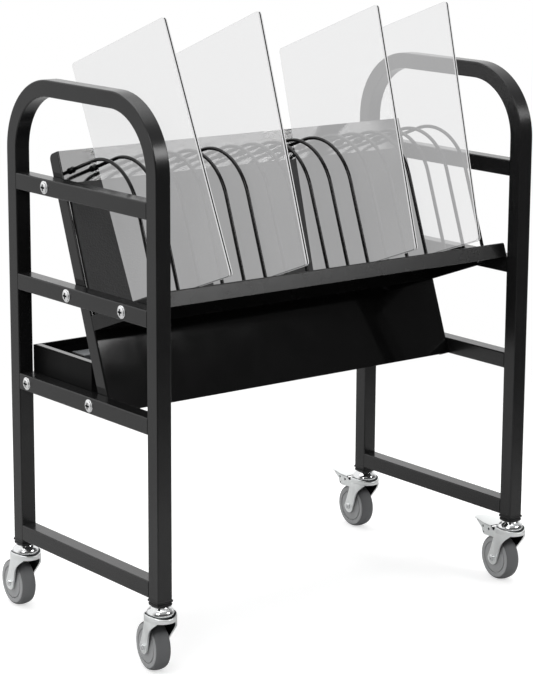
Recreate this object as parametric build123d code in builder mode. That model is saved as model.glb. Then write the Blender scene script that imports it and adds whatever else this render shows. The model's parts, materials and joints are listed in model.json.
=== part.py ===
from build123d import *
from math import atan2, cos, radians, sin
import os

os.makedirs("parts", exist_ok=True)

# Overall sizes
cart_length = 726.2
cart_depth = 394.6
hoop_rise = 731.9
caster_height = 116.0

# Square tube of the end frames
tube = 25.4
tube_wall = 1.5
tube_round = 2.0
hoop_bend_radius = 101.6
lower_rail_rise = 245.4
middle_rail_gap = 157.1
top_rail_gap = 155.5

# Sheet metal
sheet = 1.5
bend_round = 2.4
cut_overrun = 5.0

# Device rack, leaning back
rack_tilt = 20.0
rack_forward = 42.1
rack_lift = 1.4
panel_height = 400.0
flange_depth = 24.0
flange_corner = 9.0
flange_screw_back = 15.5
shelf_height = 149.0
shelf_reach = 184.5
shelf_lip = 23.3
shelf_screw_drop = 13.7

# Pad on the panel
pad_thickness = 3.0
pad_inset = 5.5
pad_top = 350.0
pad_round = 2.0
soft_gap = 0.3

# Wire dividers
wire = 5.5
wire_sides = 12
wire_count = 17
wire_end_gap = 17.7
wire_leg_reach = 152.5
wire_bend_radius = 90.0
wire_turn = 90.0
wire_top = 369.0
wire_foot = 5.0
wire_tail = 4.0
wire_fit = 0.1
knob = 10.0
knob_foot = 7.6
knob_depth = 8.6
knob_flat = 2.4
left_wire_count = 6
middle_wire_count = 5

# Cable tray behind the panel
tray_front = 9.0
tray_back = 171.0
tray_lift = 0.6
tray_wall = 67.0
tray_hem = 3.5
tray_hem_fold = 7.0
tray_screw_inset = 20.0

# Power strip in the tray
strip_end_gap = 62.7
strip_depth = 35.0
strip_height = 45.0
strip_back_gap = 2.0
strip_band = 20.0
strip_base_band = 14.0
strip_band_depth = 2.0
strip_cap = 4.0
strip_round = 2.0
outlet_count = 16
outlet_end_gap = 35.0
outlet_width = 22.0
outlet_height = 15.0
outlet_depth = 1.6
outlet_slot = 2.0
outlet_slot_height = 6.0
outlet_slot_spread = 5.5
bracket_width = 20.0
bracket_inset = 40.0
inlet_width = 27.0
inlet_height = 20.0
inlet_depth = 10.0
inlet_wall = 2.0
inlet_pin = 2.0
inlet_pin_height = 5.0
inlet_pin_spread = 7.0
inlet_pins = 3

# Frame screws
screw = 6.0
screw_hole = 6.6
screw_head = 17.0
screw_head_depth = 3.6
screw_head_taper = 30.0
screw_flange = 20.0
screw_flange_depth = 1.2
recess_width = 2.0
recess_length = 8.0
recess_depth = 2.4
nut_across = 10.0
nut_depth = 5.0
screw_tip = 2.0
thread_fit = 0.05

# Casters
wheel = 75.0
tread_width = 25.0
tread_round = 7.0
tread_bevel = 2.1
tyre_bore = 46.6
hub_disc = 44.0
hub_boss = 19.0
hub_width = 27.0
hub_disc_width = 23.6
hub_groove_width = 20.0
trail = 24.0
axle = 8.0
axle_fit = 0.05
axle_head = 10.0
axle_nut_across = 10.0
axle_head_depth = 3.0
axle_recess = 5.0
axle_recess_depth = 1.5
fork_sheet = 2.5
fork_inside = 29.0
fork_eye = 11.5
fork_front = 19.0
fork_rear = 22.0
fork_front_drop = 6.0
fork_front_radius = 60.0
fork_shoulder = 4.0
crown_rise = 89.0
dish = 48.0
dish_rise = 9.9
dish_lip = 3.0
kingpin = 10.0
kingpin_head = 16.0
kingpin_head_depth = 2.7
race = 42.0
race_rim = 2.4
race_neck = 30.0
stem = 11.0
stem_length = 34.0
stem_fit = 0.05
swivel_gap = 0.3
plug_flange = 28.0
plug_flange_depth = 10.5
plug_taper = 2.5
plug_round = 3.0
plug_slack = 0.3
plug_length = 28.0

# Brake pedal, on the two right-hand casters
pedal_reach = 87.0
pedal_width = 37.6
pedal_tip_width = 26.0
pedal_taper_start = 45.0
pedal_sheet = 1.5
pedal_pin = 5.0
pedal_pivot_back = 12.0
pedal_pivot_rise = 80.0
pedal_ear = 5.5
pedal_top_start = 28.0
pedal_top_rise = 92.5
pedal_tip_side = 7.0
pedal_side_depth = 21.0
pedal_belly_rear = 60.0
pedal_belly_front = 38.0
pedal_hole = 3.6
pedal_hole_shares = [(0.885, 0.262), (0.759, 0.381), (0.695, 0.762)]
pedal_shoe_back = 42.0
pedal_shoe_width = 20.0
pedal_shoe_drop = 15.0
pedal_slit_width = 1.6
pedal_slit_length = 16.0
pedal_slit_back = 62.0

# Devices standing in the bays
device_length = 382.0
device_width = 255.0
device_thickness = 6.0
device_corner = 6.0
device_gap = 0.3

# Swivel angles at rest, seen from above
front_left_yaw = -9.0
front_right_yaw = -5.6
rear_left_yaw = -3.3
rear_right_yaw = -3.0

# Bay of each device, and the shares of a bay by which it stands off the bay's left wire at its foot,
# leans to the right by the top of the wires, and turns to the right by their legs
device_bays = [1, 5, 10, 13]
device_foot_shares = [0.475, 0.28, 0.21, 0.10]
device_lean_shares = [-0.327, 0.134, 0.375, 0.563]
device_turn_shares = [0.0, -0.2, 0.0, 0.2]

# Places worked out from the sizes above
tilt = radians(rack_tilt)
inside_half = cart_length / 2 - tube
middle_rail_rise = lower_rail_rise + middle_rail_gap
top_rail_rise = middle_rail_rise + top_rail_gap
post_x = (cart_length - tube) / 2
post_y = (cart_depth - tube) / 2
corner_forward = pad_thickness + device_gap + device_width - device_corner
corner_up = shelf_height + device_gap + device_corner
front_reach = rack_forward + corner_forward * cos(tilt) - corner_up * sin(tilt) + device_corner
back_reach = post_y + pedal_reach
frame_y = (front_reach - back_reach) / 2
rack_y = frame_y - rack_forward
rack_z = caster_height + lower_rail_rise + rack_lift
shelf_floor = shelf_height - sheet
wire_pitch = 2 * (inside_half - wire_end_gap) / (wire_count - 1)
wire_x = [wire_pitch * k - inside_half + wire_end_gap for k in range(wire_count)]

# Planes of the rack: across it, and along its side at a given x
rack_plane = Plane(origin=(0, rack_y, rack_z), x_dir=(1, 0, 0), z_dir=(0, sin(tilt), cos(tilt)))


def rack_side(x):
    return Plane(origin=(x, rack_y, rack_z), x_dir=(0, cos(tilt), -sin(tilt)), z_dir=(1, 0, 0))


def rack_face(back):
    origin = rack_plane.origin + rack_plane.y_dir * back
    return Plane(origin=origin, x_dir=(1, 0, 0), z_dir=-rack_plane.y_dir)


def rack_point(back, up):
    y = rack_y + back * cos(tilt) + up * sin(tilt)
    z = rack_z - back * sin(tilt) + up * cos(tilt)
    return y, z


def side_plane(x):
    return Plane(origin=(x, 0, 0), x_dir=(0, 1, 0), z_dir=(1, 0, 0))


# Screw places on an end frame, each at the middle of its rail
def rail_middle(rise):
    return caster_height + rise + tube / 2


def flange_screw(rise):
    z = rail_middle(rise)
    up = (z - rack_z + flange_screw_back * sin(tilt)) / cos(tilt)
    return rack_point(flange_screw_back, up)


def shelf_screw():
    z = rail_middle(middle_rail_rise)
    up = shelf_height - shelf_screw_drop
    back = (rack_z + up * cos(tilt) - z) / sin(tilt)
    return rack_point(back, up)


top_screw = flange_screw(top_rail_rise)
middle_screw = flange_screw(middle_rail_rise)
lower_screw = flange_screw(lower_rail_rise)
tray_screw = (frame_y + tray_back - tray_screw_inset, rail_middle(lower_rail_rise))
screw_places = [top_screw, middle_screw, shelf_screw(), lower_screw, tray_screw]


def finish(part, name):
    part.label = name
    export_step(part, f"parts/{name}.step")


# End frames: a bent hoop and four rails on each side
def tube_section():
    RectangleRounded(tube, tube, tube_round)
    Rectangle(tube - 2 * tube_wall, tube - 2 * tube_wall, mode=Mode.SUBTRACT)


def end_hoop(x):
    top = caster_height + hoop_rise - tube / 2
    front = frame_y - post_y
    back = frame_y + post_y
    with BuildPart() as hoop:
        with BuildLine(side_plane(x)):
            FilletPolyline(
                (front, caster_height),
                (front, top),
                (back, top),
                (back, caster_height),
                radius=hoop_bend_radius,
            )
        with BuildSketch(Plane.XY.offset(caster_height)):
            with Locations((x, front)):
                tube_section()
        sweep()
    return hoop.part


def end_rail(x, rise, holes):
    length = cart_depth - 2 * tube
    with BuildPart() as rail:
        with BuildSketch(Plane.XZ.offset(-frame_y - length / 2)):
            with Locations((x, rail_middle(rise))):
                tube_section()
        extrude(amount=length)
        if holes:
            with BuildSketch(side_plane(x - tube / 2 - cut_overrun)):
                with Locations(*holes):
                    Circle(screw_hole / 2)
            extrude(amount=tube + 2 * cut_overrun, mode=Mode.SUBTRACT)
    return rail.part


rails = {
    "bottom": (0, []),
    "lower": (lower_rail_rise, [lower_screw, tray_screw]),
    "middle": (middle_rail_rise, [middle_screw, shelf_screw()]),
    "top": (top_rail_rise, [top_screw]),
}
for side_name, side in (("left", -1), ("right", 1)):
    finish(end_hoop(side * post_x), f"{side_name}_hoop")
    for rail_name, (rise, holes) in rails.items():
        finish(end_rail(side * post_x, rise, holes), f"{side_name}_{rail_name}_rail")


# Back panel: a sheet with two side flanges bent back, drilled for the wires and the screws
with BuildPart() as back_panel:
    with BuildSketch(rack_plane):
        with Locations((0, flange_depth / 2)):
            Rectangle(2 * inside_half, flange_depth)
        with Locations((0, sheet + flange_depth / 2)):
            Rectangle(2 * (inside_half - sheet), flange_depth, mode=Mode.SUBTRACT)
    extrude(amount=panel_height)
    upright = back_panel.edges().filter_by(Axis((0, 0, 0), rack_plane.z_dir))
    folds = upright.filter_by(lambda edge: rack_plane.to_local_coords(edge.center()).Y < bend_round)
    outer = folds.filter_by(lambda edge: rack_plane.to_local_coords(edge.center()).Y < sheet / 2)
    inner = folds.filter_by(lambda edge: rack_plane.to_local_coords(edge.center()).Y > sheet / 2)
    fillet(outer, bend_round)
    fillet(inner, bend_round - sheet)
    with BuildSketch(rack_side(-inside_half - cut_overrun)):
        with BuildLine():
            start = (flange_depth - flange_corner, panel_height)
            end = (flange_depth, panel_height - flange_corner)
            RadiusArc(start, end, flange_corner)
            Polyline(
                end,
                (flange_depth + cut_overrun, panel_height - flange_corner),
                (flange_depth + cut_overrun, panel_height + cut_overrun),
                (flange_depth - flange_corner, panel_height + cut_overrun),
                start,
            )
        make_face()
    extrude(amount=2 * (inside_half + cut_overrun), mode=Mode.SUBTRACT)
    with BuildSketch(rack_face(-cut_overrun)):
        with Locations(*[(x, wire_top) for x in wire_x]):
            Circle(wire / 2 + wire_fit)
    extrude(amount=-(sheet + 2 * cut_overrun), mode=Mode.SUBTRACT)
    with BuildSketch(side_plane(-inside_half - cut_overrun)):
        with Locations(top_screw, middle_screw, lower_screw):
            Circle(screw_hole / 2)
    extrude(amount=2 * (inside_half + cut_overrun), mode=Mode.SUBTRACT)
finish(back_panel.part, "back_panel")


# Pad that the devices' backs rest on
with BuildPart() as back_pad:
    pad_height = pad_top - shelf_height - soft_gap
    with BuildSketch(rack_face(0)):
        with Locations((0, shelf_height + soft_gap + pad_height / 2)):
            RectangleRounded(2 * (inside_half - pad_inset), pad_height, pad_round)
    extrude(amount=pad_thickness)
finish(back_pad.part, "back_pad")


# Shelf: a shallow pan turned upside down, drilled for the feet of the wires and the screws
with BuildPart() as shelf:
    with BuildSketch(rack_plane.offset(shelf_height - shelf_lip)):
        with Locations((0, -shelf_reach / 2)):
            Rectangle(2 * inside_half, shelf_reach)
    extrude(amount=shelf_lip)
    top_edges = shelf.faces().sort_by(Axis((0, 0, 0), rack_plane.z_dir))[-1].edges()
    fillet(top_edges, bend_round)
    with BuildSketch(rack_plane.offset(shelf_height - shelf_lip - cut_overrun)):
        with Locations((0, -shelf_reach / 2)):
            Rectangle(2 * (inside_half - sheet), shelf_reach - 2 * sheet)
    extrude(amount=shelf_lip - sheet + cut_overrun, mode=Mode.SUBTRACT)
    with BuildSketch(rack_plane.offset(shelf_height - shelf_lip)):
        with Locations(*[(x, -wire_leg_reach) for x in wire_x]):
            Circle(wire / 2 + wire_fit)
    extrude(amount=shelf_lip + cut_overrun, mode=Mode.SUBTRACT)
    with BuildSketch(side_plane(-inside_half - cut_overrun)):
        with Locations(shelf_screw()):
            Circle(screw_hole / 2)
    extrude(amount=2 * (inside_half + cut_overrun), mode=Mode.SUBTRACT)
finish(shelf.part, "shelf")


# Wire dividers: each runs out of the panel, bends over and drops through the shelf
def divider_wires(places):
    with BuildPart() as wires:
        for x in places:
            with BuildLine(rack_side(x)) as path:
                bend_start = wire_bend_radius - wire_leg_reach
                tail = Line((sheet + wire_tail, wire_top), (bend_start, wire_top))
                bend = JernArc(start=tail @ 1, tangent=(-1, 0), radius=wire_bend_radius, arc_size=wire_turn)
                Line(bend @ 1, (-wire_leg_reach, shelf_floor - wire_foot))
            with BuildSketch(Plane(origin=path.wires()[0] @ 0, z_dir=path.wires()[0] % 0)):
                RegularPolygon(wire / 2, wire_sides)
            sweep(path=path.wires()[0])
    return wires.part


last_middle_wire = left_wire_count + middle_wire_count
finish(divider_wires(wire_x[:left_wire_count]), "divider_wires_left")
finish(divider_wires(wire_x[left_wire_count:last_middle_wire]), "divider_wires_middle")
finish(divider_wires(wire_x[last_middle_wire:]), "divider_wires_right")


# Round knobs that seat the wires on the panel's face
with BuildPart() as wire_knobs:
    knob_bore = wire / 2 + wire_fit
    for x in wire_x:
        with BuildSketch(rack_side(x)):
            with BuildLine():
                Polyline(
                    (0, wire_top + knob_bore),
                    (0, wire_top + knob_foot / 2),
                    (-knob_flat, wire_top + knob / 2),
                    (knob_flat - knob_depth, wire_top + knob / 2),
                    (-knob_depth, wire_top + knob_foot / 2),
                    (-knob_depth, wire_top + knob_bore),
                    close=True,
                )
            make_face()
        revolve(axis=Axis(rack_side(x).from_local_coords(Vector(0, wire_top, 0)), -rack_plane.y_dir))
finish(wire_knobs.part, "wire_knobs")


# Cable tray: an open trough with hemmed rims, screwed to both lower rails
tray_y = frame_y + (tray_front + tray_back) / 2
tray_depth = tray_back - tray_front
tray_z = caster_height + lower_rail_rise + tray_lift

with BuildPart() as cable_tray:
    with BuildSketch(Plane.XY.offset(tray_z)):
        with Locations((0, tray_y)):
            Rectangle(2 * inside_half, tray_depth)
    extrude(amount=tray_wall)
    with BuildSketch(Plane.XY.offset(tray_z + sheet)):
        with Locations((0, tray_y)):
            Rectangle(2 * (inside_half - sheet), tray_depth - 2 * sheet)
    extrude(amount=tray_wall, mode=Mode.SUBTRACT)
    with BuildSketch(Plane.XY.offset(tray_z + tray_wall - tray_hem_fold)):
        with Locations((0, tray_y)):
            Rectangle(2 * inside_half, tray_depth)
            Rectangle(2 * (inside_half - tray_hem), tray_depth - 2 * tray_hem, mode=Mode.SUBTRACT)
    extrude(amount=tray_hem_fold)
    with BuildSketch(side_plane(-inside_half - cut_overrun)):
        with Locations(tray_screw):
            Circle(screw_hole / 2)
    extrude(amount=2 * (inside_half + cut_overrun), mode=Mode.SUBTRACT)
finish(cable_tray.part, "cable_tray")


# Power strip: a long housing with two bands along its front, end caps and an inlet
strip_back_y = frame_y + tray_back - tray_hem - strip_back_gap
strip_front_y = strip_back_y - strip_depth
strip_y = (strip_back_y + strip_front_y) / 2
strip_z = tray_z + 2 * sheet
strip_length = 2 * (inside_half - strip_end_gap)
strip_inner_half = strip_length / 2 - strip_cap
outlet_pitch = (strip_length - 2 * outlet_end_gap) / (outlet_count - 1)
bracket_spread = strip_length - 2 * bracket_inset
strip_front = Plane.XZ.offset(-strip_front_y)
outlet_z = strip_z + strip_base_band + strip_band / 2


def strip_block(start, length):
    with BuildPart() as block:
        with BuildSketch(Plane.YZ.offset(start)):
            with Locations((strip_y, strip_z + strip_height / 2)):
                RectangleRounded(strip_depth, strip_height, strip_round)
        extrude(amount=length)
    return block.part


finish(strip_block(-strip_inner_half, 2 * strip_inner_half), "power_strip_housing")

with BuildPart() as strip_caps:
    add(strip_block(-strip_inner_half - strip_cap, strip_cap))
    add(strip_block(strip_inner_half, strip_cap))
finish(strip_caps.part, "power_strip_end_caps")

with BuildPart() as outlet_band:
    with BuildSketch(strip_front):
        with Locations((0, outlet_z)):
            Rectangle(2 * strip_inner_half, strip_band)
    extrude(amount=strip_band_depth)
    with BuildSketch(strip_front.offset(strip_band_depth)):
        with Locations((0, outlet_z)):
            with GridLocations(outlet_pitch, 0, outlet_count, 1):
                Rectangle(outlet_width, outlet_height)
    extrude(amount=-outlet_depth, mode=Mode.SUBTRACT)
finish(outlet_band.part, "power_strip_outlet_band")

with BuildPart() as base_band:
    with BuildSketch(strip_front):
        with Locations((0, strip_z + strip_round + (strip_base_band - strip_round) / 2)):
            Rectangle(2 * strip_inner_half, strip_base_band - strip_round)
    extrude(amount=strip_band_depth)
finish(base_band.part, "power_strip_base_band")

with BuildPart() as outlets:
    with BuildSketch(strip_front.offset(strip_band_depth - outlet_depth)):
        with Locations((0, outlet_z)):
            with GridLocations(outlet_pitch, 0, outlet_count, 1):
                Rectangle(outlet_width, outlet_height)
            with GridLocations(outlet_pitch, 0, outlet_count, 1):
                with GridLocations(outlet_slot_spread, 0, 2, 1):
                    Rectangle(outlet_slot, outlet_slot_height, mode=Mode.SUBTRACT)
    extrude(amount=outlet_depth)
finish(outlets.part, "power_outlets")

with BuildPart() as strip_brackets:
    with BuildSketch(Plane.XY.offset(tray_z + sheet)):
        with Locations((0, strip_y)):
            with GridLocations(bracket_spread, 0, 2, 1):
                Rectangle(bracket_width, strip_depth)
    extrude(amount=sheet)
    with BuildSketch(Plane.XY.offset(tray_z + sheet)):
        with Locations((0, strip_back_y + sheet / 2)):
            with GridLocations(bracket_spread, 0, 2, 1):
                Rectangle(bracket_width, sheet)
    extrude(amount=sheet + strip_height / 2)
finish(strip_brackets.part, "power_strip_brackets")

with BuildPart() as inlet:
    inlet_start = strip_length / 2
    inlet_middle = (strip_y, strip_z + strip_height / 2)
    with BuildSketch(Plane.YZ.offset(inlet_start)):
        with Locations(inlet_middle):
            RectangleRounded(inlet_width, inlet_height, strip_round)
    extrude(amount=inlet_depth)
    with BuildSketch(Plane.YZ.offset(inlet_start + inlet_wall)):
        with Locations(inlet_middle):
            Rectangle(inlet_width - 2 * inlet_wall, inlet_height - 2 * inlet_wall)
            with GridLocations(inlet_pin_spread, 0, inlet_pins, 1):
                Rectangle(inlet_pin, inlet_pin_height, mode=Mode.SUBTRACT)
    extrude(amount=inlet_depth, mode=Mode.SUBTRACT)
finish(inlet.part, "power_inlet")


# Frame screws with flanged cross-recess heads, and the nuts that hold the sheet metal
def screw_plane(side):
    return Plane(origin=(side * cart_length / 2, 0, 0), x_dir=(0, side, 0), z_dir=(side, 0, 0))


def screw_spots(side):
    return [(side * y, z) for y, z in screw_places]


with BuildPart() as frame_screws:
    shank = tube + sheet + nut_depth + screw_tip
    for side in (-1, 1):
        outside = screw_plane(side)
        with BuildSketch(outside):
            with Locations(*screw_spots(side)):
                Circle(screw_flange / 2)
        extrude(amount=screw_flange_depth)
        with BuildSketch(outside.offset(screw_flange_depth)):
            with Locations(*screw_spots(side)):
                Circle(screw_head / 2)
        extrude(amount=screw_head_depth - screw_flange_depth, taper=screw_head_taper)
        with BuildSketch(outside):
            with Locations(*screw_spots(side)):
                Circle(screw / 2)
        extrude(amount=-shank)
        with BuildSketch(outside.offset(screw_head_depth)):
            with Locations(*screw_spots(side)):
                Rectangle(recess_length, recess_width)
                Rectangle(recess_width, recess_length)
        extrude(amount=-recess_depth, mode=Mode.SUBTRACT)
finish(frame_screws.part, "frame_screws")

with BuildPart() as frame_nuts:
    for side in (-1, 1):
        with BuildSketch(screw_plane(side).offset(-tube - sheet)):
            with Locations(*screw_spots(side)):
                RegularPolygon(nut_across / 2, 6, major_radius=False)
                Circle(screw / 2 + thread_fit, mode=Mode.SUBTRACT)
        extrude(amount=-nut_depth)
finish(frame_nuts.part, "frame_nuts")


# Casters. Each is built about its own stem: across the wheel, rearwards along the trail, and up
def caster_plane(side, end, yaw):
    turn = radians(yaw)
    origin = (side * post_x, frame_y + end * post_y, 0)
    return Plane(origin=origin, x_dir=(cos(turn), sin(turn), 0), z_dir=(0, 0, 1))


def trail_plane(base, across=0.0):
    return Plane(origin=base.origin + base.x_dir * across, x_dir=base.y_dir, z_dir=base.x_dir)


def axle_plane(base):
    origin = base.from_local_coords(Vector(0, trail, wheel / 2))
    return Plane(origin=origin, x_dir=base.x_dir, z_dir=-base.y_dir)


flange_z = caster_height - plug_flange_depth
crown_z = crown_rise - fork_sheet
race_z = crown_rise + dish_rise + swivel_gap


def caster_plug(base):
    inside = tube - 2 * (tube_wall + plug_slack)
    foot = plug_flange - 2 * plug_taper
    with BuildPart() as plug:
        with BuildSketch(base.offset(flange_z)):
            RectangleRounded(foot, foot, plug_round)
        with BuildSketch(base.offset(flange_z + plug_taper)):
            RectangleRounded(plug_flange, plug_flange, plug_round)
        loft()
        with BuildSketch(base.offset(flange_z + plug_taper)):
            RectangleRounded(plug_flange, plug_flange, plug_round)
        extrude(amount=plug_flange_depth - plug_taper)
        with BuildSketch(base.offset(caster_height)):
            RectangleRounded(inside, inside, tube_round)
        extrude(amount=plug_length)
        with BuildSketch(base.offset(flange_z)):
            Circle(stem / 2 + stem_fit)
        extrude(amount=plug_flange_depth + plug_length, mode=Mode.SUBTRACT)
    return plug.part


# The stem's lower end is the upper race, and the kingpin that holds the fork below it
def caster_stem(base):
    head_z = crown_z - swivel_gap
    with BuildPart() as upper:
        with BuildSketch(trail_plane(base)):
            with BuildLine():
                Polyline(
                    (0, flange_z + stem_length),
                    (stem / 2, flange_z + stem_length),
                    (stem / 2, flange_z),
                    (race_neck / 2, flange_z),
                    (race / 2, race_z + race_rim),
                    (race / 2, race_z),
                    (kingpin / 2, race_z),
                    (kingpin / 2, head_z),
                    (kingpin_head / 2, head_z),
                    (kingpin_head / 2, head_z - kingpin_head_depth),
                    (0, head_z - kingpin_head_depth),
                    close=True,
                )
            make_face()
        revolve(axis=Axis(base.origin, base.z_dir))
    return upper.part


# Pressed fork: two legs swept back to the axle, joined by a crown with the lower ball track
def caster_fork(base, braked):
    outside = fork_inside + 2 * fork_sheet
    axle_z = wheel / 2
    with BuildPart() as fork:
        with BuildSketch(trail_plane(base, -outside / 2)):
            with BuildLine():
                top_front = (-fork_front, crown_rise)
                low_front = (-fork_front, crown_rise - fork_front_drop)
                eye_front = (trail - fork_eye, axle_z)
                eye_rear = (trail + fork_eye, axle_z)
                top_rear = (fork_rear, crown_rise)
                Polyline(low_front, top_front, top_rear, eye_rear)
                RadiusArc(eye_rear, eye_front, fork_eye)
                RadiusArc(eye_front, low_front, -fork_front_radius)
            make_face()
        extrude(amount=outside)
        shoulders = fork.faces().sort_by(Axis.Z)[-1].edges().filter_by(Axis(base.origin, base.y_dir))
        fillet(shoulders, fork_shoulder)
        with BuildSketch(trail_plane(base, -fork_inside / 2)):
            with Locations((0, crown_z / 2)):
                Rectangle(2 * wheel, crown_z)
        extrude(amount=fork_inside, mode=Mode.SUBTRACT)
        with BuildSketch(trail_plane(base)):
            with BuildLine():
                Polyline(
                    (kingpin / 2 + axle_fit, crown_z),
                    (dish / 2 - dish_lip, crown_z),
                    (dish / 2, crown_rise),
                    (dish / 2, crown_rise + dish_rise - dish_lip),
                    (dish / 2 - dish_lip, crown_rise + dish_rise),
                    (dish / 2 - dish_lip - fork_sheet, crown_rise + dish_rise),
                    (dish / 2 - fork_sheet - dish_lip, crown_rise),
                    (kingpin / 2 + axle_fit, crown_rise),
                    close=True,
                )
            make_face()
        revolve(axis=Axis(base.origin, base.z_dir))
        with BuildSketch(base.offset(crown_z)):
            Circle(kingpin / 2 + axle_fit)
        extrude(amount=fork_sheet, mode=Mode.SUBTRACT)
        with BuildSketch(trail_plane(base, -outside / 2)):
            with Locations((trail, axle_z)):
                Circle(axle / 2 + axle_fit)
            if braked:
                with Locations((pedal_pivot_back, pedal_pivot_rise)):
                    Circle(pedal_pin / 2 + axle_fit)
        extrude(amount=outside, mode=Mode.SUBTRACT)
    return fork.part


# Axle bolt with a recessed head at one end and a nut at the other
def caster_axle(base):
    outside = fork_inside + 2 * fork_sheet
    flat = Plane(origin=axle_plane(base).origin, x_dir=base.y_dir, z_dir=base.x_dir)
    with BuildPart() as bolt:
        with BuildSketch(flat.offset(-outside / 2 - axle_head_depth)):
            Circle(axle_head / 2)
        extrude(amount=axle_head_depth)
        with BuildSketch(flat.offset(-outside / 2)):
            Circle(axle / 2)
        extrude(amount=outside)
        with BuildSketch(flat.offset(outside / 2)):
            RegularPolygon(axle_nut_across / 2, 6, major_radius=False)
        extrude(amount=axle_head_depth)
        with BuildSketch(flat.offset(-outside / 2 - axle_head_depth)):
            RegularPolygon(axle_recess / 2, 6)
        extrude(amount=axle_recess_depth, mode=Mode.SUBTRACT)
    return bolt.part


def wheel_hub(base):
    bore = axle / 2 + axle_fit
    steps = [(hub_boss, hub_width), (hub_disc, hub_disc_width), (tyre_bore, hub_groove_width)]
    with BuildPart() as hub:
        with BuildSketch(axle_plane(base)):
            for outer, width in steps:
                with Locations((0, (bore + outer / 2) / 2)):
                    Rectangle(width, outer / 2 - bore)
        revolve(axis=Axis(axle_plane(base).origin, base.x_dir))
    return hub.part


def wheel_tyre(base):
    with BuildPart() as tyre:
        with BuildSketch(axle_plane(base)):
            with BuildLine():
                Polyline(
                    (0, tyre_bore / 2),
                    (tread_width / 2, tyre_bore / 2),
                    (tread_width / 2, wheel / 2 - tread_round),
                    (tread_width / 2 - tread_bevel, wheel / 2 - tread_bevel),
                    (tread_width / 2 - tread_round, wheel / 2),
                    (0, wheel / 2),
                )
                mirror(about=Plane.YZ)
            make_face()
        revolve(axis=Axis(axle_plane(base).origin, base.x_dir))
    return tyre.part


# Brake pedal: a stamped channel hung on a pin, with a shoe above the tyre
def pedal_plan(inset):
    with BuildLine() as outline:
        half = pedal_width / 2 - inset
        tip = pedal_tip_width / 2 - inset
        tip_start = pedal_reach - pedal_tip_width / 2
        front = pedal_pivot_back - pedal_ear
        Polyline((-tip, tip_start), (-half, pedal_taper_start), (-half, front))
        Line((-half, front), (half, front))
        Polyline((half, front), (half, pedal_taper_start), (tip, tip_start))
        ThreePointArc((tip, tip_start), (0, tip_start + tip), (-tip, tip_start))
    return outline.edges()


def pedal_side():
    ear_top = (pedal_pivot_back, pedal_pivot_rise + pedal_ear)
    ear_front = (pedal_pivot_back - pedal_ear, pedal_pivot_rise)
    ear_bottom = (pedal_pivot_back, pedal_pivot_rise - pedal_ear)
    with BuildLine() as outline:
        ThreePointArc(ear_bottom, ear_front, ear_top)
        Polyline(
            ear_top,
            (pedal_top_start - pedal_ear, pedal_pivot_rise + pedal_ear),
            (pedal_top_start, pedal_top_rise),
            (pedal_reach, pedal_top_rise),
            (pedal_reach, pedal_top_rise - pedal_tip_side),
            (pedal_belly_rear, pedal_top_rise - pedal_side_depth),
            (pedal_belly_front, pedal_top_rise - pedal_side_depth),
            ear_bottom,
        )
    return outline.edges()


def brake_pedal(base):
    low = pedal_top_rise - pedal_side_depth - pedal_ear
    with BuildPart() as pedal:
        with BuildSketch(base.offset(low)):
            make_face(pedal_plan(0))
        extrude(amount=pedal_top_rise - low)
        with BuildSketch(trail_plane(base, -pedal_width)):
            make_face(pedal_side())
        extrude(amount=2 * pedal_width, mode=Mode.INTERSECT)
        with BuildSketch(base.offset(low)):
            make_face(pedal_plan(pedal_sheet))
        extrude(amount=pedal_top_rise - pedal_sheet - low, mode=Mode.SUBTRACT)
        with BuildSketch(trail_plane(base, pedal_sheet - pedal_width / 2)):
            with Locations((pedal_top_start / 2, pedal_top_rise)):
                Rectangle(pedal_top_start, 2 * pedal_side_depth)
        extrude(amount=pedal_width - 2 * pedal_sheet, mode=Mode.SUBTRACT)
        with BuildSketch(trail_plane(base, -pedal_width)):
            with Locations((pedal_pivot_back, pedal_pivot_rise)):
                Circle(pedal_pin / 2 + axle_fit)
            for back, drop in pedal_hole_shares:
                with Locations((pedal_reach * back, pedal_top_rise - pedal_side_depth * drop)):
                    Circle(pedal_hole / 2)
        extrude(amount=2 * pedal_width, mode=Mode.SUBTRACT)
        with BuildSketch(base.offset(pedal_top_rise)):
            with Locations((0, pedal_slit_back)):
                SlotOverall(pedal_slit_length, pedal_slit_width)
        extrude(amount=-pedal_sheet, mode=Mode.SUBTRACT)
        with BuildSketch(trail_plane(base, -pedal_shoe_width / 2)):
            with Locations((pedal_shoe_back, pedal_top_rise - pedal_sheet - pedal_shoe_drop / 2)):
                Rectangle(pedal_sheet, pedal_shoe_drop)
        extrude(amount=pedal_shoe_width)
    return pedal.part


def brake_pin(base):
    with BuildPart() as pin:
        with BuildSketch(trail_plane(base, -pedal_width / 2)):
            with Locations((pedal_pivot_back, pedal_pivot_rise)):
                Circle(pedal_pin / 2)
        extrude(amount=pedal_width)
    return pin.part


casters = {
    "front_left": (-1, -1, front_left_yaw, False),
    "front_right": (1, -1, front_right_yaw, True),
    "rear_left": (-1, 1, rear_left_yaw, False),
    "rear_right": (1, 1, rear_right_yaw, True),
}
for place, (side, end, yaw, braked) in casters.items():
    base = caster_plane(side, end, yaw)
    upright = caster_plane(side, end, 0)
    finish(caster_plug(upright), f"{place}_plug")
    finish(caster_stem(upright), f"{place}_stem")
    finish(caster_fork(base, braked), f"{place}_fork")
    finish(caster_axle(base), f"{place}_axle")
    finish(wheel_hub(base), f"{place}_hub")
    finish(wheel_tyre(base), f"{place}_tyre")
    if braked:
        finish(brake_pedal(base), f"{place}_brake_pedal")
        finish(brake_pin(base), f"{place}_brake_pin")


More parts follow.
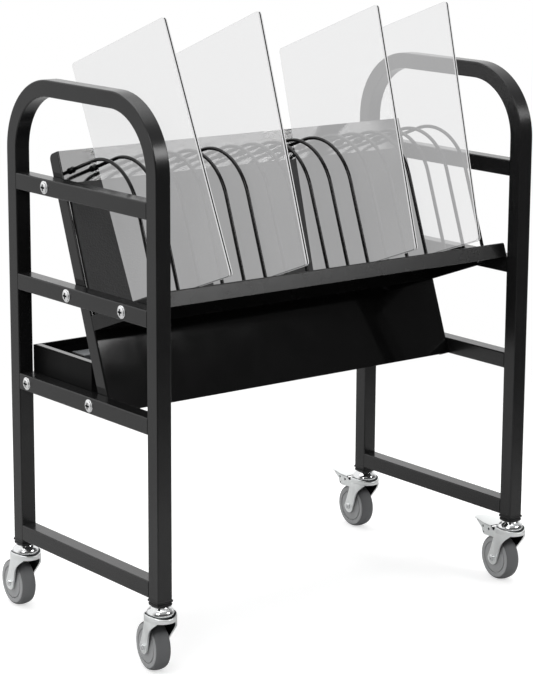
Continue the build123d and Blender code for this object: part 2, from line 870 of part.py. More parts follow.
# Devices: thin plates that stand on the shelf, each leaning and turned a little in its bay
def device(bay, foot_share, lean_share, turn_share):
    lean = atan2(lean_share * wire_pitch, wire_top - shelf_height)
    turn = atan2(turn_share * wire_pitch, wire_leg_reach)
    foot = rack_side(wire_x[bay] + foot_share * wire_pitch)
    aside = foot.z_dir * cos(lean) - foot.y_dir * sin(lean)
    back = foot.x_dir * cos(turn) - aside * sin(turn)
    normal = aside * cos(turn) + foot.x_dir * sin(turn)
    start = pad_thickness + device_gap + device_thickness * max(0, sin(turn))
    lift = device_gap + device_thickness * max(0, sin(lean)) + device_width * max(0, sin(lean) * sin(turn))
    corner = foot.from_local_coords(Vector(-start, shelf_height + lift, 0))
    with BuildPart() as plate:
        with BuildSketch(Plane(origin=corner, x_dir=back, z_dir=normal)):
            with Locations((-device_width / 2, device_length / 2)):
                RectangleRounded(device_width, device_length, device_corner)
        extrude(amount=device_thickness)
    return plate.part


devices = zip(device_bays, device_foot_shares, device_lean_shares, device_turn_shares)
for number, place in enumerate(devices, start=1):
    finish(device(*place), f"device_{number}")
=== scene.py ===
import bmesh
import bpy
import json
import math
from mathutils import Matrix, Vector
from mathutils.geometry import delaunay_2d_cdt

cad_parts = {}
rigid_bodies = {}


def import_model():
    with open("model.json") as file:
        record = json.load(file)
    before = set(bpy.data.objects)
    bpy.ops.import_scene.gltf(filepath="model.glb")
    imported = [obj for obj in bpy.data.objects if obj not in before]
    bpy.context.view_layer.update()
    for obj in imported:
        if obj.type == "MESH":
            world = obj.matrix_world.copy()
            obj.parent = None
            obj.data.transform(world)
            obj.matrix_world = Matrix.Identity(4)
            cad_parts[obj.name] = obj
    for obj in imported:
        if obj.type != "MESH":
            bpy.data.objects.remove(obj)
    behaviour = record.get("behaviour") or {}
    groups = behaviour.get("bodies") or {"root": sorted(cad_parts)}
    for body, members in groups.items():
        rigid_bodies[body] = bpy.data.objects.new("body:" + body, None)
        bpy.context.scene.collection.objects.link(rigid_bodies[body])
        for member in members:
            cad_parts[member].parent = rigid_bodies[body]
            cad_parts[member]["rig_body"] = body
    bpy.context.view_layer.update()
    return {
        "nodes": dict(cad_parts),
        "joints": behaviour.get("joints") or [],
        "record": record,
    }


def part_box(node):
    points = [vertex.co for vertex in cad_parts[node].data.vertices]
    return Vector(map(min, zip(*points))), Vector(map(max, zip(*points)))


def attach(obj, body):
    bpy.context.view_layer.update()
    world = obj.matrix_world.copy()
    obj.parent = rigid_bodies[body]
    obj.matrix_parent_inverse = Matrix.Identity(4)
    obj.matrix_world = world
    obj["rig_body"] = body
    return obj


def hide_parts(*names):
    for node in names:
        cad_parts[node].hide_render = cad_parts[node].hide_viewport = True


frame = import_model()

# Millimetres to metres, the rack's lean, and the casters by place
MM = 0.001
TILT = math.radians(20)
CASTERS = ("front_left", "front_right", "rear_left", "rear_right")
BRAKED = ("front_right", "rear_right")


def middle(node):
    low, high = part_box(node)
    return (low + high) / 2


FRAME_Y = middle("left_hoop").y

# Camera, solved from the end frames' edges in the photograph: yaw, pitch and roll in degrees
CAMERA_TURNS = (37.85, 12.63, 0.29)
CAMERA_PLACE = (-2.2011, FRAME_Y - 2.815, 1.2271)
SENSOR_WIDTH = 36
SENSOR_PIXELS = 674
FOCAL_PIXELS = 2319.6


def make_camera():
    yaw, pitch, roll = (math.radians(turn) for turn in CAMERA_TURNS)
    ahead = Vector((
        math.sin(yaw) * math.cos(pitch),
        math.cos(yaw) * math.cos(pitch),
        -math.sin(pitch),
    ))
    right = Vector((math.cos(yaw), -math.sin(yaw), 0))
    up = right.cross(ahead)
    turned_right = right * math.cos(roll) + up * math.sin(roll)
    turned_up = up * math.cos(roll) - right * math.sin(roll)
    data = bpy.data.cameras.new("camera")
    data.sensor_width = SENSOR_WIDTH
    data.lens = SENSOR_WIDTH * FOCAL_PIXELS / SENSOR_PIXELS
    data.clip_start = 0.1
    data.clip_end = 50
    camera = bpy.data.objects.new("camera", data)
    bpy.context.scene.collection.objects.link(camera)
    turn = Matrix((turned_right, turned_up, -ahead)).transposed()
    camera.matrix_world = Matrix.Translation(CAMERA_PLACE) @ turn.to_4x4()
    bpy.context.scene.camera = camera


# Node-tree helpers
NOISE_LOW = 0.3
NOISE_HIGH = 0.7


def new_material(name):
    material = bpy.data.materials.new(name)
    material.use_nodes = True
    tree = material.node_tree
    tree.nodes.clear()
    out = tree.nodes.new("ShaderNodeOutputMaterial")
    return material, tree, out


def add_node(tree, kind, **values):
    node = tree.nodes.new(kind)
    for key, value in values.items():
        if key in node.inputs:
            node.inputs[key].default_value = value
        else:
            setattr(node, key, value)
    return node


def object_noise(tree, scale, detail=3.0, roughness=0.55):
    place = add_node(tree, "ShaderNodeTexCoord")
    noise = add_node(tree, "ShaderNodeTexNoise", Scale=scale, Detail=detail, Roughness=roughness)
    tree.links.new(place.outputs["Object"], noise.inputs["Vector"])
    return noise.outputs["Fac"]


def spread(tree, value, low, high):
    ranged = add_node(tree, "ShaderNodeMapRange")
    ranged.inputs["From Min"].default_value = NOISE_LOW
    ranged.inputs["From Max"].default_value = NOISE_HIGH
    ranged.inputs["To Min"].default_value = low
    ranged.inputs["To Max"].default_value = high
    tree.links.new(value, ranged.inputs["Value"])
    return ranged.outputs["Result"]


def smooth_range(tree, value, across, to=(0.0, 1.0)):
    ranged = add_node(tree, "ShaderNodeMapRange", interpolation_type="SMOOTHSTEP")
    for socket, end in zip(("From Min", "From Max", "To Min", "To Max"), (*across, *to)):
        ranged.inputs[socket].default_value = end
    tree.links.new(value, ranged.inputs["Value"])
    return ranged.outputs["Result"]


def colour_between(tree, value, low, high):
    ramp = add_node(tree, "ShaderNodeValToRGB")
    ramp.color_ramp.elements[0].position = NOISE_LOW
    ramp.color_ramp.elements[1].position = NOISE_HIGH
    ramp.color_ramp.elements[0].color = (*low, 1)
    ramp.color_ramp.elements[1].color = (*high, 1)
    tree.links.new(value, ramp.inputs["Fac"])
    return ramp.outputs["Color"]


def bumped(tree, shader, heights):
    last = None
    for value, distance, strength in heights:
        bump = add_node(tree, "ShaderNodeBump", Distance=distance, Strength=strength)
        tree.links.new(value, bump.inputs["Height"])
        if last:
            tree.links.new(last, bump.inputs["Normal"])
        last = bump.outputs["Normal"]
    tree.links.new(last, shader.inputs["Normal"])


def grey(value):
    return (value, value, value * 1.02)


# A surface whose colour and roughness vary a little, with one or two sizes of grain in its bump.
# low and high are colours, rough is a range, and a grain is its scale, height in mm and strength.
COLOUR_SCALE = 9.0
ROUGH_SCALE = 26.0


def coated(name, low, high, rough, grain, coarse=None, metallic=0.0, specular=0.5):
    material, tree, out = new_material(name)
    shader = add_node(tree, "ShaderNodeBsdfPrincipled", Metallic=metallic)
    shader.inputs["Specular IOR Level"].default_value = specular
    patches = object_noise(tree, COLOUR_SCALE)
    tree.links.new(colour_between(tree, patches, low, high), shader.inputs["Base Color"])
    worn = object_noise(tree, ROUGH_SCALE, 4.0)
    tree.links.new(spread(tree, worn, *rough), shader.inputs["Roughness"])
    heights = [(object_noise(tree, grain[0], 2.0), grain[1] * MM, grain[2])]
    if coarse:
        heights.append((object_noise(tree, coarse[0], 1.0), coarse[1] * MM, coarse[2]))
    bumped(tree, shader, heights)
    tree.links.new(shader.outputs["BSDF"], out.inputs["Surface"])
    return material


# Matt sheet with a fine pebbled face
PEBBLE_SCALE = 420.0
PEBBLE_HEIGHT = 0.5 * MM
PAD_GRAIN_SCALE = 900.0
PAD_GRAIN_HEIGHT = 0.15 * MM
PAD_PATCH_SCALE = 14.0


def pebbled(name):
    material, tree, out = new_material(name)
    shader = add_node(tree, "ShaderNodeBsdfPrincipled")
    shader.inputs["Specular IOR Level"].default_value = 0.5
    place = add_node(tree, "ShaderNodeTexCoord")
    cells = add_node(tree, "ShaderNodeTexVoronoi", Scale=PEBBLE_SCALE, feature="SMOOTH_F1")
    tree.links.new(place.outputs["Object"], cells.inputs["Vector"])
    patches = object_noise(tree, PAD_PATCH_SCALE)
    colour = colour_between(tree, patches, grey(0.024), grey(0.036))
    tree.links.new(colour, shader.inputs["Base Color"])
    tree.links.new(spread(tree, patches, 0.52, 0.62), shader.inputs["Roughness"])
    grain = object_noise(tree, PAD_GRAIN_SCALE, 2.0)
    bumped(tree, shader, [
        (cells.outputs["Distance"], PEBBLE_HEIGHT, 0.6),
        (grain, PAD_GRAIN_HEIGHT, 0.4),
    ])
    tree.links.new(shader.outputs["BSDF"], out.inputs["Surface"])
    return material


# How much of a surface's own colour a ray gets: all of it for a camera ray on the first
# surfaces that it meets, and none beyond
def seen_first(tree, surfaces):
    rays = add_node(tree, "ShaderNodeLightPath")
    near = add_node(tree, "ShaderNodeMath", operation="LESS_THAN")
    near.inputs[1].default_value = surfaces - 0.5
    tree.links.new(rays.outputs["Transparent Depth"], near.inputs[0])
    both = add_node(tree, "ShaderNodeMath", operation="MULTIPLY")
    tree.links.new(rays.outputs["Is Camera Ray"], both.inputs[0])
    tree.links.new(near.outputs[0], both.inputs[1])
    return both.outputs[0]


# Translucent sheet: a part of the light passes straight through and the rest is a pale haze,
# part glow and part lit by the lamps
HAZE_SCALE = 6.0
HAZE_SPREAD = 0.015
HAZY_SURFACES = 2


def translucent(name, tint, haze, glow, lit):
    material, tree, out = new_material(name)
    clear = add_node(tree, "ShaderNodeBsdfTransparent", Color=(1, 1, 1, 1))
    scatter = add_node(tree, "ShaderNodeBsdfDiffuse")
    shine = add_node(tree, "ShaderNodeEmission", Strength=glow)
    patches = object_noise(tree, HAZE_SCALE)
    colour = colour_between(tree, patches, tuple(c * (1 - HAZE_SPREAD) for c in tint), tint)
    tree.links.new(colour, scatter.inputs["Color"])
    tree.links.new(colour, shine.inputs["Color"])
    both = add_node(tree, "ShaderNodeMixShader", Fac=lit)
    tree.links.new(shine.outputs[0], both.inputs[1])
    tree.links.new(scatter.outputs[0], both.inputs[2])
    amount = add_node(tree, "ShaderNodeMath", operation="MULTIPLY")
    varied = spread(tree, patches, haze * (1 - HAZE_SPREAD), haze * (1 + HAZE_SPREAD))
    tree.links.new(varied, amount.inputs[0])
    tree.links.new(seen_first(tree, HAZY_SURFACES), amount.inputs[1])
    veil = add_node(tree, "ShaderNodeMixShader")
    tree.links.new(amount.outputs[0], veil.inputs["Fac"])
    tree.links.new(clear.outputs[0], veil.inputs[1])
    tree.links.new(both.outputs[0], veil.inputs[2])
    tree.links.new(veil.outputs[0], out.inputs["Surface"])
    return material


POWDER = coated(
    "black_frame", grey(0.010), grey(0.014), (0.21, 0.27),
    (1400.0, 0.05, 0.22), (260.0, 0.10, 0.12), specular=0.46,
)
SHEET_COAT = coated(
    "black_sheet", grey(0.004), grey(0.006), (0.055, 0.085),
    (1500.0, 0.03, 0.05), (210.0, 0.04, 0.02),
)
FOLDED_COAT = coated(
    "black_sheet_folded", grey(0.007), grey(0.010), (0.23, 0.29),
    (1400.0, 0.05, 0.20), (260.0, 0.08, 0.08), specular=0.27,
)
TRAY_COAT = coated(
    "black_tray", grey(0.005), grey(0.007), (0.30, 0.38),
    (1400.0, 0.05, 0.20), (260.0, 0.08, 0.08), specular=0.06,
)
RIM_COAT = coated(
    "black_rim", grey(0.010), grey(0.014), (0.10, 0.14),
    (1400.0, 0.05, 0.10), specular=1.0,
)
WIRE_COAT = coated(
    "black_wire", grey(0.003), grey(0.005), (0.08, 0.12),
    (1800.0, 0.03, 0.06), specular=0.28,
)
PAD = pebbled("black_pad")
STRIP_GREY = coated(
    "strip_grey", (0.20, 0.21, 0.22), (0.23, 0.24, 0.25), (0.38, 0.46), (900.0, 0.05, 0.15),
)
STRIP_BLACK = coated("strip_black", grey(0.014), grey(0.020), (0.45, 0.55), (700.0, 0.08, 0.3))
STRIP_WHITE = coated(
    "strip_white", (0.68, 0.68, 0.66), (0.74, 0.74, 0.72), (0.38, 0.48), (800.0, 0.05, 0.2),
)
ZINC = coated(
    "zinc_hardware", (0.78, 0.785, 0.79), (0.90, 0.905, 0.91), (0.10, 0.16),
    (600.0, 0.04, 0.10), metallic=1.0,
)
PLUG = coated(
    "black_plug", grey(0.007), grey(0.010), (0.30, 0.38), (500.0, 0.1, 0.2), specular=0.32,
)
CASTER_ZINC = coated(
    "caster_zinc", (0.74, 0.75, 0.755), (0.86, 0.87, 0.875), (0.10, 0.20),
    (500.0, 0.06, 0.2), (90.0, 0.2, 0.1), metallic=1.0,
)
PRESSED_ZINC = coated(
    "pressed_zinc", (0.90, 0.92, 0.915), (0.96, 0.98, 0.975), (0.30, 0.40),
    (500.0, 0.06, 0.2), (90.0, 0.15, 0.1), metallic=0.85,
)
# Dark metal that paints shade: on the fork's inner faces, the pedal's inner and under faces, the
# pedal pins and the screws' cross recesses
CASTER_SHADE = coated(
    "caster_painted_shade", (0.035, 0.04, 0.046), (0.06, 0.066, 0.074), (0.35, 0.5),
    (500.0, 0.06, 0.2), metallic=1.0,
)
# Mid-dark metal that paints shade into the groove of the fork head's dish
GROOVE_SHADE = coated(
    "groove_shade", (0.13, 0.138, 0.145), (0.21, 0.218, 0.225), (0.3, 0.42),
    (500.0, 0.06, 0.2), metallic=1.0,
)
CORE = coated(
    "wheel_core", (0.35, 0.355, 0.36), (0.42, 0.425, 0.43), (0.42, 0.55), (420.0, 0.08, 0.25),
)
TREAD = coated(
    "wheel_tread", (0.135, 0.138, 0.142), (0.168, 0.171, 0.175), (0.5, 0.62), (520.0, 0.1, 0.3),
)
CLEAR = translucent("device_clear", (0.80, 0.80, 0.805), 0.305, 0.97, 0.25)
EDGE_PALE = translucent("device_edge", (0.78, 0.78, 0.785), 0.94, 0.98, 0.15)
EDGE_DARK = translucent("device_core", grey(0.012), 0.98, 0.6, 0.6)
EDGE_LINE = translucent("device_line", grey(0.05), 0.62, 0.3, 0.5)

SLOT_MATERIALS = {
    "black_frame": POWDER,
    "black_sheet": SHEET_COAT,
    "black_wire": WIRE_COAT,
    "black_pad": PAD,
    "strip_grey": STRIP_GREY,
    "strip_black": STRIP_BLACK,
    "strip_white": STRIP_WHITE,
    "zinc_hardware": ZINC,
    "black_plug": PLUG,
    "caster_zinc": CASTER_ZINC,
    "wheel_core": CORE,
    "wheel_tread": TREAD,
    "device_clear": CLEAR,
}
# Nodes of the black sheet whose coat is duller than the panel's
OWN_COATS = {"shelf": FOLDED_COAT, "cable_tray": TRAY_COAT}


def node_material(entry):
    return OWN_COATS.get(entry["node"], SLOT_MATERIALS[entry["material_slot"]])


def dress_nodes():
    for entry in frame["record"]["subparts"]:
        shown = frame["nodes"][entry["node"]]
        shown.data.materials.clear()
        shown.data.materials.append(node_material(entry))


# Mesh helpers
def add_mesh(name, points, faces, materials, body, indices=None):
    mesh = bpy.data.meshes.new(name)
    mesh.from_pydata([tuple(p) for p in points], [], faces)
    for material in materials:
        mesh.materials.append(material)
    if indices:
        mesh.polygons.foreach_set("material_index", indices)
    mesh.polygons.foreach_set("use_smooth", [True] * len(mesh.polygons))
    mesh.validate()
    mesh.update()
    piece = bpy.data.objects.new(name, mesh)
    bpy.context.scene.collection.objects.link(piece)
    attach(piece, body)
    return piece


def soften(piece, width, angle=35, segments=2):
    bevel = piece.modifiers.new("bevel", "BEVEL")
    bevel.width = width
    bevel.segments = segments
    bevel.limit_method = "ANGLE"
    bevel.angle_limit = math.radians(angle)
    bevel.harden_normals = True
    flat = piece.modifiers.new("normals", "WEIGHTED_NORMAL")
    flat.weight = 100


def outward(mesh):
    shape = bmesh.new()
    shape.from_mesh(mesh)
    bmesh.ops.recalc_face_normals(shape, faces=shape.faces)
    shape.to_mesh(mesh)
    shape.free()


def sharp_above(mesh, angle=35):
    mesh.set_sharp_from_angle(angle=math.radians(angle))


# Gives a second material to the faces that a test picks by their middle and normal
def second_material(piece, material, picked):
    piece.data.materials.append(material)
    for polygon in piece.data.polygons:
        if picked(polygon.center, polygon.normal):
            polygon.material_index = 1


# Rings of points about an axis, from (radius, height) pairs; a radius of zero closes an end
def lathe_parts(profile, origin, axis, segments):
    axis = Vector(axis).normalized()
    side = axis.orthogonal().normalized()
    other = axis.cross(side)
    points, faces, rings = [], [], []
    for radius, height in profile:
        centre = Vector(origin) + axis * height
        if radius == 0:
            rings.append([len(points)])
            points.append(centre)
            continue
        rings.append(list(range(len(points), len(points) + segments)))
        for k in range(segments):
            angle = 2 * math.pi * k / segments
            points.append(centre + (side * math.cos(angle) + other * math.sin(angle)) * radius)
    for first, second in zip(rings, rings[1:]):
        for k in range(segments):
            n = (k + 1) % segments
            if len(first) == 1:
                faces.append((first[0], second[n], second[k]))
            elif len(second) == 1:
                faces.append((first[k], first[n], second[0]))
            else:
                faces.append((first[k], first[n], second[n], second[k]))
    return points, faces


def lathe(name, profile, origin, axis, material, body, segments=72, angle=35):
    points, faces = lathe_parts(profile, origin, axis, segments)
    piece = add_mesh(name, points, faces, [material], body)
    outward(piece.data)
    sharp_above(piece.data, angle)
    return piece


def arc(centre, radius, start, end, steps):
    found = []
    for k in range(steps + 1):
        angle = math.radians(start + (end - start) * k / steps)
        found.append((centre[0] + radius * math.cos(angle), centre[1] + radius * math.sin(angle)))
    return found


def scaled(pairs):
    return [(a * MM, b * MM) for a, b in pairs]


# A round bar along a flat path, closed by slightly rounded ends
def bar_parts(path, radius, sides, across):
    points, faces = [], []
    count = len(path)
    for i, place in enumerate(path):
        ahead = (path[min(i + 1, count - 1)] - path[max(i - 1, 0)]).normalized()
        side = Vector(across)
        up = ahead.cross(side).normalized()
        for k in range(sides):
            angle = 2 * math.pi * k / sides
            points.append(place + (side * math.cos(angle) + up * math.sin(angle)) * radius)
    for i in range(count - 1):
        for k in range(sides):
            n = (k + 1) % sides
            a, b = i * sides, (i + 1) * sides
            faces.append((a + k, a + n, b + n, b + k))
    for first, place in ((0, path[0]), ((count - 1) * sides, path[-1])):
        points.append(place)
        for k in range(sides):
            faces.append((first + k, first + (k + 1) % sides, len(points) - 1))
    return points, faces


def joined(parts):
    points, faces = [], []
    for more_points, more_faces in parts:
        start = len(points)
        points += more_points
        faces += [tuple(i + start for i in face) for face in more_faces]
    return points, faces


# Rack axes: rearward along the shelf and up along the panel, from the panel's front face
RACK_BACK = Vector((0, math.cos(TILT), -math.sin(TILT)))
RACK_UP = Vector((0, math.sin(TILT), math.cos(TILT)))
PANEL_FORWARD = 42.1 * MM
PANEL_FOOT = 362.8 * MM
RACK_ORIGIN = Vector((0, FRAME_Y - PANEL_FORWARD, PANEL_FOOT))


def rack(x, back, up):
    return RACK_ORIGIN + Vector((x, 0, 0)) + RACK_BACK * back + RACK_UP * up


# Wire dividers as smooth round bars, and the knobs that seat them in the panel
WIRE = 5.5 * MM
WIRE_COUNT = 17
WIRE_PITCH = 40 * MM
WIRE_TOP = 369 * MM
WIRE_REACH = 152.5 * MM
WIRE_BEND = 90 * MM
SHELF_TOP = 149 * MM
WIRE_SINK = 6 * MM
WIRE_TAIL = 5.4 * MM
WIRE_SIDES = 20
WIRE_STEPS = 28
WIRE_GROUPS = (
    ("divider_wires_left", 0, 6), ("divider_wires_middle", 6, 11), ("divider_wires_right", 11, 17),
)
KNOB_PROFILE = [(2.85, 0.1), (3.9, 0.1), *arc((1.0, 4.4), 4.0, -50, 78, 12), (2.85, 8.5)]
KNOB_SIDES = 36


def wire_place(k):
    return (k - (WIRE_COUNT - 1) / 2) * WIRE_PITCH


def wire_path(x):
    path = [rack(x, WIRE_TAIL, WIRE_TOP), rack(x, 0, WIRE_TOP)]
    bend_start = WIRE_REACH - WIRE_BEND
    for k in range(WIRE_STEPS + 1):
        angle = math.pi / 2 * k / WIRE_STEPS
        drop = WIRE_BEND * (1 - math.cos(angle))
        path.append(rack(x, -bend_start - WIRE_BEND * math.sin(angle), WIRE_TOP - drop))
    top = WIRE_TOP - WIRE_BEND
    for share in (0.33, 0.66, 1.0):
        path.append(rack(x, -WIRE_REACH, top + (SHELF_TOP - WIRE_SINK - top) * share))
    return path


def make_wires():
    for node, first, last in WIRE_GROUPS:
        paths = [wire_path(wire_place(k)) for k in range(first, last)]
        parts = [bar_parts(path, WIRE / 2, WIRE_SIDES, (1, 0, 0)) for path in paths]
        piece = add_mesh(node + "_bars", *joined(parts), [WIRE_COAT], "cart")
        outward(piece.data)
        sharp_above(piece.data, 50)
        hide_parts(node)
    profile = scaled(KNOB_PROFILE)
    tops = [rack(wire_place(k), 0, WIRE_TOP) for k in range(WIRE_COUNT)]
    parts = [lathe_parts(profile, top, -RACK_BACK, KNOB_SIDES) for top in tops]
    piece = add_mesh("wire_knob_beads", *joined(parts), [WIRE_COAT], "cart")
    outward(piece.data)
    sharp_above(piece.data, 60)
    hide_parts("wire_knobs")


# Standing plates: faces of haze, and a front edge of three bands, pale, dark and pale, the
# dark one in a shallow groove; the other edges are hazy, and a fine line runs along the foot
PLATE_LENGTH = 382 * MM
PLATE_WIDTH = 255 * MM
PLATE_THICKNESS = 6 * MM
PLATE_CORNER = 6 * MM
PLATE_ARRIS = 0.35 * MM
PLATE_LINE = 1.3 * MM
PLATE_GROOVE = 0.25 * MM
PLATE_GAP = 0.3 * MM
PLATE_SEAT = 3.3 * MM
PLATE_LAYERS = (
    (PLATE_LINE, 0.0), (PLATE_ARRIS, 0.0), (0.0, PLATE_ARRIS),
    (0.0, 1.9 * MM), (PLATE_GROOVE, 2.0 * MM), (PLATE_GROOVE, 4.0 * MM), (0.0, 4.1 * MM),
    (0.0, PLATE_THICKNESS - PLATE_ARRIS), (PLATE_ARRIS, PLATE_THICKNESS),
    (PLATE_LINE, PLATE_THICKNESS),
)
PLATE_BANDS = (0, 1, 1, 2, 2, 2, 1, 1, 0)
FOOT_BAND = 3
BAYS = (1, 5, 10, 13)
FOOT_SHARES = (0.475, 0.28, 0.21, 0.10)
LEAN_SHARES = (-0.327, 0.134, 0.375, 0.563)
TURN_SHARES = (0.0, -0.2, 0.0, 0.2)


def plate_outline(inset):
    corner = PLATE_CORNER
    found = []
    for sx, sy, start in ((1, 1, 0), (-1, 1, 90), (-1, -1, 180), (1, -1, 270)):
        centre = (sx * (PLATE_WIDTH / 2 - corner), sy * (PLATE_LENGTH / 2 - corner))
        for a, b in arc(centre, corner - inset, start, start + 90, 8):
            found.append((a, b))
    return found


def make_plate(number, bay, foot_share, lean_share, turn_share):
    lean = math.atan2(lean_share * WIRE_PITCH, WIRE_TOP - SHELF_TOP)
    turn = math.atan2(turn_share * WIRE_PITCH, WIRE_REACH)
    x_dir = Vector((1, 0, 0))
    aside = x_dir * math.cos(lean) - RACK_UP * math.sin(lean)
    up = x_dir * math.sin(lean) + RACK_UP * math.cos(lean)
    back = RACK_BACK * math.cos(turn) - aside * math.sin(turn)
    normal = aside * math.cos(turn) + RACK_BACK * math.sin(turn)
    start = PLATE_SEAT + PLATE_THICKNESS * max(0, math.sin(turn))
    lift = PLATE_GAP + PLATE_THICKNESS * max(0, math.sin(lean))
    lift += PLATE_WIDTH * max(0, math.sin(lean) * math.sin(turn))
    corner = rack(wire_place(bay) + foot_share * WIRE_PITCH, -start, SHELF_TOP + lift)
    centre = corner - back * PLATE_WIDTH / 2 + up * PLATE_LENGTH / 2
    points, faces, indices = [], [], []
    for inset, depth in PLATE_LAYERS:
        outline = plate_outline(inset)
        points += [centre - back * a + up * b + normal * depth for a, b in outline]
    count = len(outline)
    front = PLATE_WIDTH / 2 - PLATE_CORNER / 2
    foot = PLATE_CORNER * 0.7 - PLATE_LENGTH / 2
    for layer, band in enumerate(PLATE_BANDS):
        for k in range(count):
            n = (k + 1) % count
            a, b = layer * count, (layer + 1) * count
            faces.append((a + k, a + n, b + n, b + k))
            in_front = min(outline[k][0], outline[n][0]) > front
            at_foot = max(outline[k][1], outline[n][1]) < foot
            indices.append(band if in_front and band else FOOT_BAND * (band == 0 and at_foot))
    faces.append(tuple(range(count)))
    faces.append(tuple(range(len(points) - count, len(points))))
    indices += [0, 0]
    name = f"device_{number}"
    materials = [CLEAR, EDGE_PALE, EDGE_DARK, EDGE_LINE]
    piece = add_mesh(name + "_sheet", points, faces, materials, name + "_body", indices)
    outward(piece.data)
    sharp_above(piece.data, 30)
    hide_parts(name)


# Casters, each about its own stem: across the wheel, rearwards along the trail, and up
TRAIL = 24.0
AXLE_RISE = 37.5
CROWN = 87.2
FORK_HALF = 17.0
FORK_SHEET = 2.5
FORK_FRONT = 20.5
FORK_REAR = 22.0
FORK_LOW_FRONT = 84.0
FORK_EYE = 11.5
FORK_ARC = 115.0
FORK_SHOULDER = 2.4
FORK_COLUMNS = 24
FORK_ROWS = 26
HEAD = 26.6
HEAD_ACROSS = 23.9
HEAD_LEAST = 15.5
HEAD_SADDLE = 2.0
BELL_FOOT = 37.0
BELL_TOP = 82.0
HEAD_PROFILE = [
    (5.2, 85.2), (24.6, 85.2), (24.9, 84.9), (25.9, 84.6), (26.5, 85.3), (26.6, 91.0),
    *arc((24.8, 91.4), 1.8, 0, 110, 7),
    (23.4, 92.2), (22.6, 90.6), (22.0, 88.6), (17.0, 87.8), (5.2, 87.8), (5.2, 85.2),
]
GROOVE = 23.3
SADDLE_RISE = (87.8, 91.0)
SADDLE_REACH = (20.0, 22.4)
OVAL_START = 20.5


class Caster:
    def __init__(self, place):
        joints = {joint["name"]: joint for joint in frame["joints"]}
        spin, swivel = joints[place + "_spin"], joints[place + "_swivel"]
        self.place = place
        self.across = Vector(spin["axis"]).normalized()
        self.back = Vector((-self.across.y, self.across.x, 0))
        self.foot = Vector((swivel["pos_m"][0], swivel["pos_m"][1], 0))
        self.axle = self.at(0, TRAIL, AXLE_RISE)

    def at(self, across, back, up):
        return self.foot + (self.across * across + self.back * back + Vector((0, 0, up))) * MM


def eased(value, low, high):
    share = min(1, max(0, (value - low) / (high - low)))
    return share * share * (3 - 2 * share)


# Front and rear edge of a fork leg at a height
def leg_span(z):
    if z < AXLE_RISE:
        half = math.sqrt(max(0, FORK_EYE ** 2 - (AXLE_RISE - z) ** 2))
        return TRAIL - half, TRAIL + half
    rear = FORK_REAR + (TRAIL + FORK_EYE - FORK_REAR) * ((CROWN - z) / (CROWN - AXLE_RISE)) ** 1.6
    if z >= FORK_LOW_FRONT:
        return -FORK_FRONT, rear
    low, high = Vector((TRAIL - FORK_EYE, AXLE_RISE)), Vector((-FORK_FRONT, FORK_LOW_FRONT))
    middle_point = (low + high) / 2
    chord = high - low
    away = math.sqrt(FORK_ARC ** 2 - (chord.length / 2) ** 2)
    centre = middle_point + Vector((-chord.y, chord.x)).normalized() * away
    front = centre.x + math.sqrt(FORK_ARC ** 2 - (z - centre.y) ** 2)
    return front, rear


# Two legs and a crown as one bent sheet, that flares out to the round head
def make_fork(caster):
    shoulder = FORK_SHOULDER
    rise = CROWN - shoulder - AXLE_RISE
    heights = [AXLE_RISE - FORK_EYE * math.cos(math.radians(a)) for a in range(8, 91, 8)]
    heights += [AXLE_RISE + rise * k / FORK_ROWS for k in range(1, FORK_ROWS + 1)]
    leg = [(FORK_HALF, z) for z in heights]
    bend = arc((FORK_HALF - shoulder, CROWN - shoulder), shoulder, 0, 90, 8)[1:]
    crown = [((FORK_HALF - shoulder) * (1 - k / 5), CROWN) for k in range(1, 6)]
    half = leg + bend + crown
    section = half + [(-x, z) for x, z in reversed(half[:-1])]
    columns = FORK_COLUMNS
    points, faces = [], []
    for x, z in section:
        front, rear = leg_span(z)
        out = eased(z, BELL_FOOT, BELL_TOP)
        for k in range(columns + 1):
            t = front + (rear - front) * k / columns
            reach = max(HEAD_ACROSS * math.sqrt(max(0, 1 - (t / HEAD) ** 2)), HEAD_LEAST)
            points.append(caster.at(x * (1 + (reach / FORK_HALF - 1) * out), t, z))
    for i in range(len(section) - 1):
        for k in range(columns):
            a, b = i * (columns + 1) + k, (i + 1) * (columns + 1) + k
            faces.append((a, a + 1, b + 1, b))
    body = caster.place + "_swivel_body"
    materials = [PRESSED_ZINC, CASTER_SHADE]
    piece = add_mesh(caster.place + "_pressed_fork", points, faces, materials, body)
    outward(piece.data)
    solid = piece.modifiers.new("sheet", "SOLIDIFY")
    solid.thickness = FORK_SHEET * MM
    # The sheet's inner shell takes the second material, painted shade
    solid.material_offset = 1
    centre = caster.at(0, 0, 60)
    top = piece.data.polygons[len(piece.data.polygons) // 2]
    solid.offset = -1 if (top.center - centre).dot(top.normal) > 0 else 1
    soften(piece, 0.5 * MM)
    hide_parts(caster.place + "_fork")
    make_head(caster, body)


# Dished head whose rim stands higher over the legs than at its front and rear, and is an oval
def make_head(caster, body):
    name = caster.place + "_fork_head"
    profile = scaled(HEAD_PROFILE)
    dish = lathe(name, profile, caster.foot, (0, 0, 1), PRESSED_ZINC, body, 96, 50)
    for vertex in dish.data.vertices:
        off = vertex.co - caster.foot
        radius = math.hypot(off.x, off.y)
        if not radius:
            continue
        across = off.dot(caster.across)
        share = eased(off.z / MM, *SADDLE_RISE) * eased(radius / MM, *SADDLE_REACH)
        vertex.co.z += HEAD_SADDLE * MM * share * (2 * (across / radius) ** 2 - 1)
        oval = (1 - HEAD_ACROSS / HEAD) * eased(radius / MM, OVAL_START, HEAD)
        vertex.co -= caster.across * across * oval

    def in_groove(spot, normal):
        off = spot - caster.foot
        return math.hypot(off.x, off.y) < GROOVE * MM

    # Faces inside the groove's radius get painted shade
    second_material(dish, GROOVE_SHADE, in_groove)


